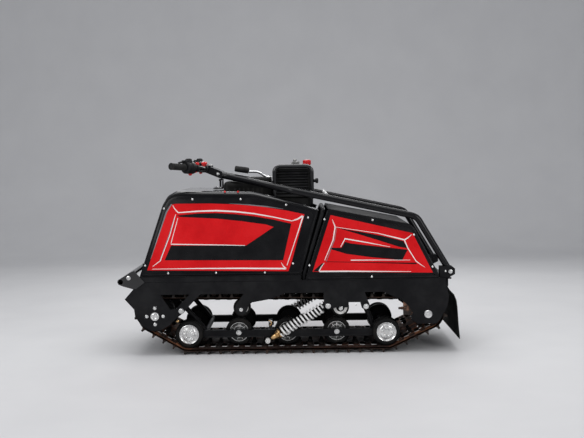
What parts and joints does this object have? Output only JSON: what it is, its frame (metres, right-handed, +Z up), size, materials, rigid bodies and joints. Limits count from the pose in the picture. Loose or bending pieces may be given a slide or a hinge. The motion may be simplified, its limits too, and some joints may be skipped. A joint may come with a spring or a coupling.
{
  "type": "tracked snow towing vehicle",
  "caption": "Low motorised crawler with a single wide rubber track, two sloped hoods and a handlebar tiller folded forward over them; it tows sleds over snow.",
  "frame": {"origin": "on the ground under the middle of the overall box", "axes": "+X forward, +Y to the vehicle's left, +Z up"},
  "size_m": [1.466, 0.6208, 0.8464],
  "materials": {
    "frame_black": "satin powder coat",
    "hood_black": "gloss",
    "panel_red": "gloss decal on black",
    "engine_black": "matte",
    "knob_red": "gloss",
    "bright_steel": "zinc plated",
    "wheel_plastic": "matte",
    "cast_grey": "painted",
    "track_rubber": "dusty",
    "wheel_rubber": "satin",
    "spring_white": "gloss",
    "grip_rubber": "matte"
  },
  "bodies": {
    "chassis": {"side_plate_left": "frame_black", "side_plate_right": "frame_black", "deck": "frame_black", "frame_members": "frame_black", "rear_member": "frame_black", "tow_hitch": "frame_black", "front_bumper": "frame_black", "front_hood": "hood_black", "front_panel_left": "panel_red", "front_panel_right": "panel_red", "centre_hoop": "frame_black", "rear_hood": "hood_black", "rear_panel_left": "panel_red", "rear_panel_right": "panel_red", "engine_block": "engine_black", "engine_cover": "engine_black", "muffler_guard": "engine_black", "guard_frame": "frame_black", "fuel_tank": "engine_black", "filler_cap": "knob_red", "tiller_rest": "frame_black", "reverse_lever": "bright_steel", "drive_shaft": "bright_steel", "drive_sprockets": "wheel_plastic", "drive_bearings": "cast_grey", "idler_wheels": "wheel_plastic", "track": "track_rubber", "slide_beams": "frame_black", "axles": "bright_steel", "road_wheels": "wheel_rubber", "front_swing_arm": "frame_black", "rear_swing_arm": "frame_black", "shock_left": "spring_white", "shock_right": "spring_white", "shock_mounts": "bright_steel", "return_rollers": "wheel_rubber", "mudflap": "track_rubber"},
    "tiller": {"tiller_arm_left": "frame_black", "tiller_arm_right": "frame_black", "tiller_crossbar": "bright_steel", "handlebar_clamp": "frame_black", "handlebar": "frame_black", "grips": "grip_rubber", "control_left": "wheel_plastic", "control_right": "wheel_plastic"}
  },
  "joints": [
    {"name": "tiller_fold", "type": "hinge", "parent": "chassis", "child": "tiller", "pos_m": [-0.688, 0, 0.3485], "axis": [0, -1, 0], "range_deg": [0, 135]}
  ]
}
